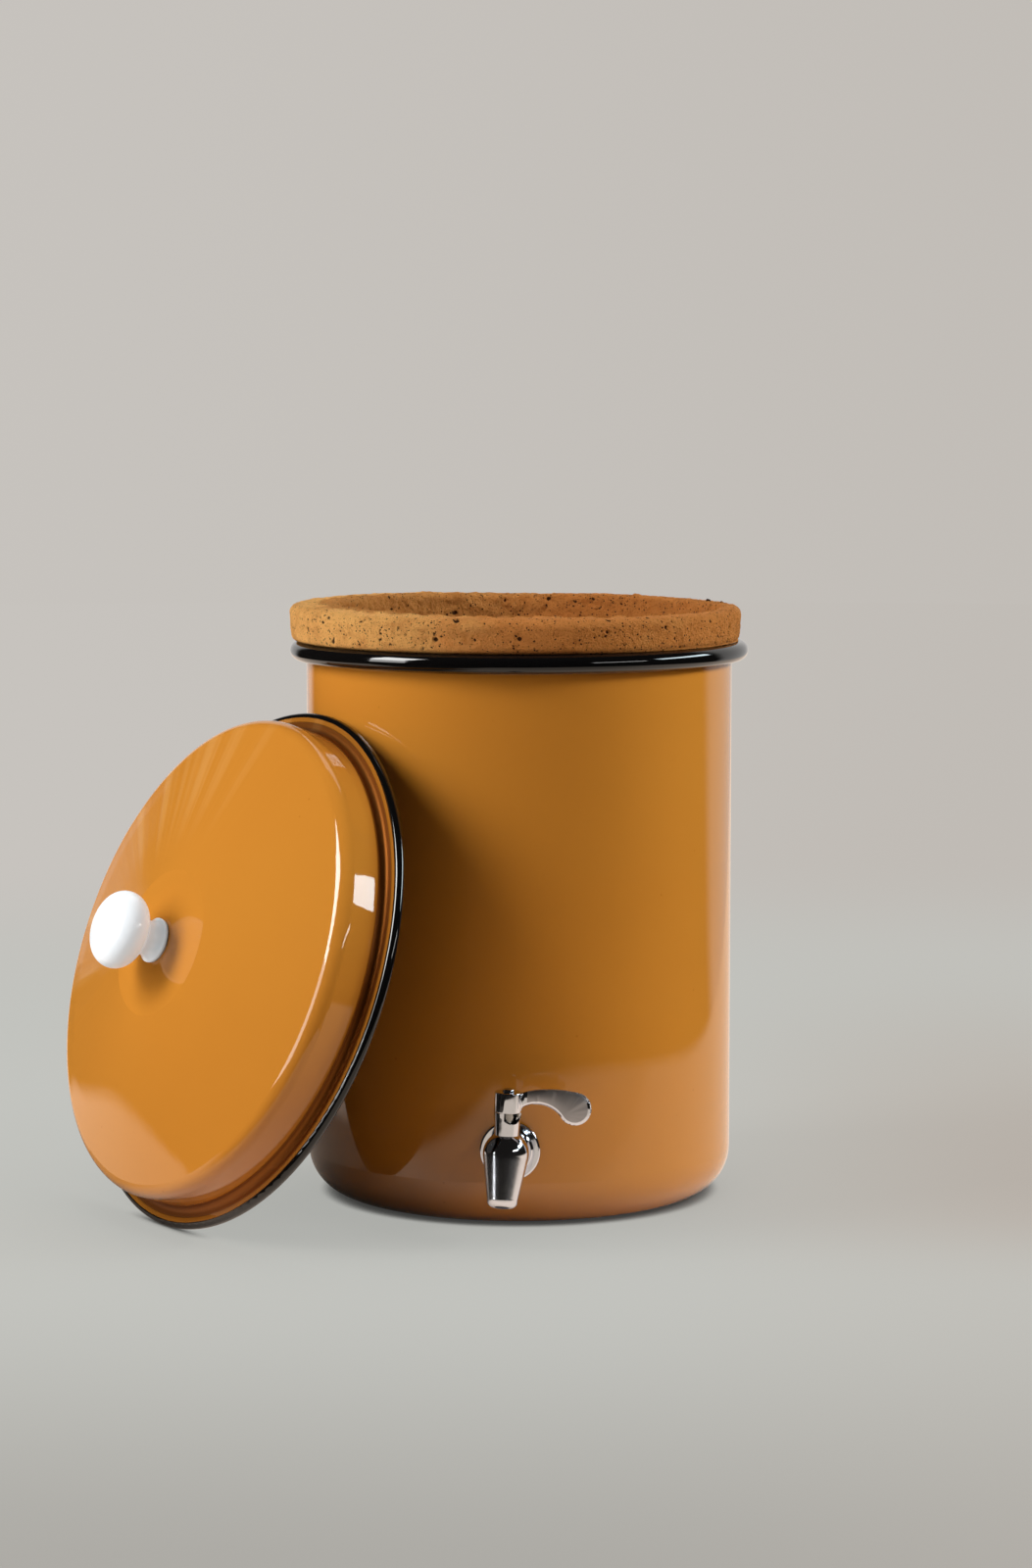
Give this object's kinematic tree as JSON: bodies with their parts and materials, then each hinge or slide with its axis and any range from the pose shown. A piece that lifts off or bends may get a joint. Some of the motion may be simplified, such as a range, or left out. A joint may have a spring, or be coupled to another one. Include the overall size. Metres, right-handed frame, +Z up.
{
  "type": "gravity water filter with tap",
  "caption": "Enamelled steel water receptacle with a lever tap, holding a terracotta filter pot, and its enamelled lid with a white knob leaning on the wall.",
  "frame": {"origin": "centre of the receptacle's flat base, on the floor", "axes": "+Z up; the tap points to -Y; the lid leans on the wall between -X and -Y"},
  "size_m": [0.45, 0.3994, 0.3911],
  "materials": {
    "ochre_enamel": "glossy vitreous enamel on sheet steel, black on the rolled rims",
    "terracotta": "unglazed sandy fired clay",
    "white_knob": "glossy white",
    "black_rubber": "matt",
    "clear_silicone": "milky silicone",
    "brass": "plain",
    "zinc_steel": "plain stainless",
    "spring_steel": "dark spring steel",
    "turned_steel": "turned stainless",
    "polished_steel": "mirror-polished stainless",
    "white_ptfe": "PTFE"
  },
  "bodies": {
    "vessel": {"receptacle": "ochre_enamel", "tap_body": "polished_steel", "plug_seat": "white_ptfe", "retaining_ring": "spring_steel", "outer_gasket": "clear_silicone", "inner_gasket": "clear_silicone", "clamp_washer": "zinc_steel", "tap_nut": "zinc_steel"},
    "filter": {"filter_pot": "terracotta"},
    "lid": {"lid_shell": "ochre_enamel", "knob": "white_knob", "knob_gasket": "black_rubber", "knob_insert": "brass", "knob_screw": "zinc_steel", "knob_washer": "zinc_steel"},
    "lever": {"tap_lever": "polished_steel", "lever_screw": "polished_steel", "stop_pin": "polished_steel", "tap_plug": "turned_steel", "plug_ring_upper": "black_rubber", "plug_ring_lower": "black_rubber"}
  },
  "joints": [
    {"name": "filter_lift", "type": "slide", "parent": "vessel", "child": "filter", "axis": [0, 0, 1], "range_m": [0, 0.26]},
    {"name": "lid_lift", "type": "slide", "parent": "vessel", "child": "lid", "axis": [-0.5735, -0.4136, 0.7071], "range_m": [0, 0.35]},
    {"name": "lever_turn", "type": "hinge", "parent": "vessel", "child": "lever", "pos_m": [-0.00176, -0.16795, 0.0515], "axis": [-0.0418, 0.0026, -0.9991], "range_deg": [0, 90]}
  ]
}
